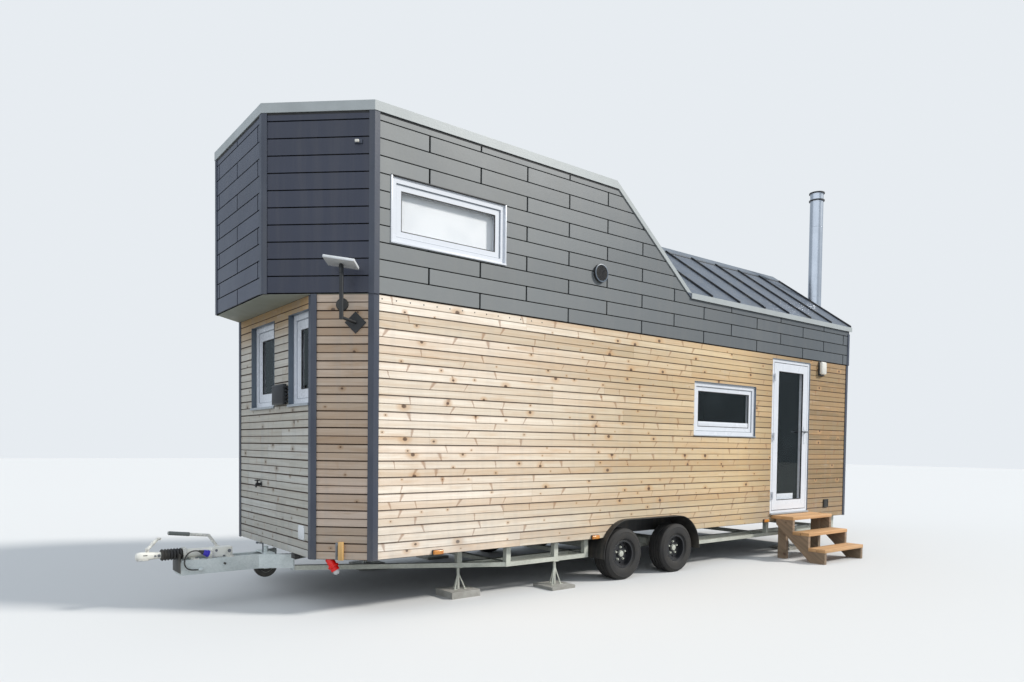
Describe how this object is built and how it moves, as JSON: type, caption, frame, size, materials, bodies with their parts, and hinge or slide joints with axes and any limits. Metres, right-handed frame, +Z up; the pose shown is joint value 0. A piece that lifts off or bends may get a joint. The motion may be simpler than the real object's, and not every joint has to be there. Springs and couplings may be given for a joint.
{
  "type": "tiny house on a trailer",
  "caption": "Timber clad tiny house on a tandem trailer, with an overhanging loft at the drawbar end, a low gable roof, an outside flue, a glazed door and timber steps.",
  "frame": {"origin": "middle of the footprint of the whole object, on the ground", "axes": "+X from the drawbar to the rear along the long side, -Y to the door side, +Z up"},
  "size_m": [8.929, 3.199, 5.055],
  "materials": {
    "timber": "weathered grooved softwood boards",
    "siding": "dark painted boards",
    "dark_trim": "dark folded sheet",
    "soffit": "light painted boards",
    "roof_sheet": "dark standing seam sheet",
    "light_trim": "light folded sheet",
    "window_frame": "white window profile",
    "glass": "clear window glass",
    "door_frame": "white door profile",
    "door_leaf": "white door profile",
    "lever_metal": "satin steel",
    "tyre": "black tyre",
    "rim": "galvanised steel wheel",
    "galvanised": "dull galvanised steel",
    "drawbar_metal": "dark painted steel",
    "housing_paint": "light painted casting",
    "rubber": "black rubber",
    "lever_grip": "grey grip on a steel rod",
    "plug_plastic": "blue plug",
    "mudguard": "grey painted sheet",
    "concrete": "rough concrete",
    "step_timber": "weathered planks",
    "flue_steel": "polished stainless steel",
    "antenna_plastic": "white plastic",
    "black_metal": "black painted steel",
    "lamp": "dark lamp body",
    "vent_plastic": "grey plastic",
    "amber_plastic": "orange lens",
    "power_inlet": "red plastic"
  },
  "bodies": {
    "house": {"near_wall_front": "timber", "near_wall_rear": "timber", "doorway_panels": "timber", "far_wall": "timber", "front_wall": "timber", "front_chamfer_walls": "timber", "rear_wall": "timber", "timber_corner_trims": "timber", "floor": "timber", "near_wall_upper": "siding", "far_wall_upper": "siding", "rear_gable": "siding", "loft_front_wall": "siding", "loft_chamfer_walls": "siding", "siding_corner_trims": "dark_trim", "loft_floor": "soffit", "loft_roof": "roof_sheet", "low_roof_near": "roof_sheet", "low_roof_far": "roof_sheet", "ridge_cap": "light_trim", "eave_trims": "light_trim", "side_window": "window_frame", "loft_window": "window_frame", "front_window_frames": "window_frame", "window_glass": "glass", "door_frame": "door_frame", "chassis_frame": "galvanised", "axles": "galvanised", "jack_stands": "galvanised", "drawbar": "drawbar_metal", "draw_tube": "drawbar_metal", "overrun_housing": "housing_paint", "bellows": "rubber", "trailer_cable": "rubber", "trailer_plug": "plug_plastic", "mudguards": "mudguard", "concrete_blocks": "concrete", "step_treads": "step_timber", "step_frame": "step_timber", "flue": "flue_steel", "antenna_panel": "antenna_plastic", "antenna_mast": "black_metal", "door_lamp": "lamp", "wall_vents": "vent_plastic", "marker_lights": "amber_plastic", "power_inlet": "power_inlet"},
    "door": {"door_leaf": "door_leaf", "door_glass": "glass"},
    "lever": {"door_lever": "lever_metal"},
    "wheel_near_front": {"tyre_near_front": "tyre", "rim_near_front": "rim"},
    "wheel_near_rear": {"tyre_near_rear": "tyre", "rim_near_rear": "rim"},
    "wheel_far_front": {"tyre_far_front": "tyre", "rim_far_front": "rim"},
    "wheel_far_rear": {"tyre_far_rear": "tyre", "rim_far_rear": "rim"},
    "handbrake": {"handbrake_lever": "lever_grip"},
    "coupling": {"coupling_handle": "drawbar_metal"},
    "jockey": {"jockey_wheel": "rubber"}
  },
  "joints": [
    {"name": "door_hinge", "type": "hinge", "parent": "house", "child": "door", "pos_m": [2.4405, -0.8965, 1.5], "axis": [0, 0, -1], "range_deg": [0, 100]},
    {"name": "door_lever", "type": "hinge", "parent": "door", "child": "lever", "pos_m": [3.1535, -0.8815, 1.57], "axis": [0, -1, 0], "range_deg": [0, 45], "stiffness_Nm_per_rad": 2, "springref_deg": -28.65},
    {"name": "wheel_near_front", "type": "hinge", "parent": "house", "child": "wheel_near_front", "pos_m": [-0.2115, -0.8145, 0.262], "axis": [0, 1, 0], "continuous": true},
    {"name": "wheel_near_rear", "type": "hinge", "parent": "house", "child": "wheel_near_rear", "pos_m": [0.6085, -0.8145, 0.262], "axis": [0, 1, 0], "continuous": true},
    {"name": "wheel_far_front", "type": "hinge", "parent": "house", "child": "wheel_far_front", "pos_m": [-0.2115, 1.4635, 0.262], "axis": [0, 1, 0], "continuous": true},
    {"name": "wheel_far_rear", "type": "hinge", "parent": "house", "child": "wheel_far_rear", "pos_m": [0.6085, 1.4635, 0.262], "axis": [0, 1, 0], "continuous": true},
    {"name": "handbrake", "type": "hinge", "parent": "house", "child": "handbrake", "pos_m": [-3.8215, 0.3865, 0.462], "axis": [0, 1, 0], "range_deg": [0, 75]},
    {"name": "coupling_handle", "type": "hinge", "parent": "house", "child": "coupling", "pos_m": [-4.3785, 0.3245, 0.492], "axis": [0, -1, 0], "range_deg": [0, 50]},
    {"name": "jockey_wheel", "type": "hinge", "parent": "house", "child": "jockey", "pos_m": [-3.4365, 0.3245, 0.28], "axis": [0, 1, 0], "continuous": true}
  ]
}
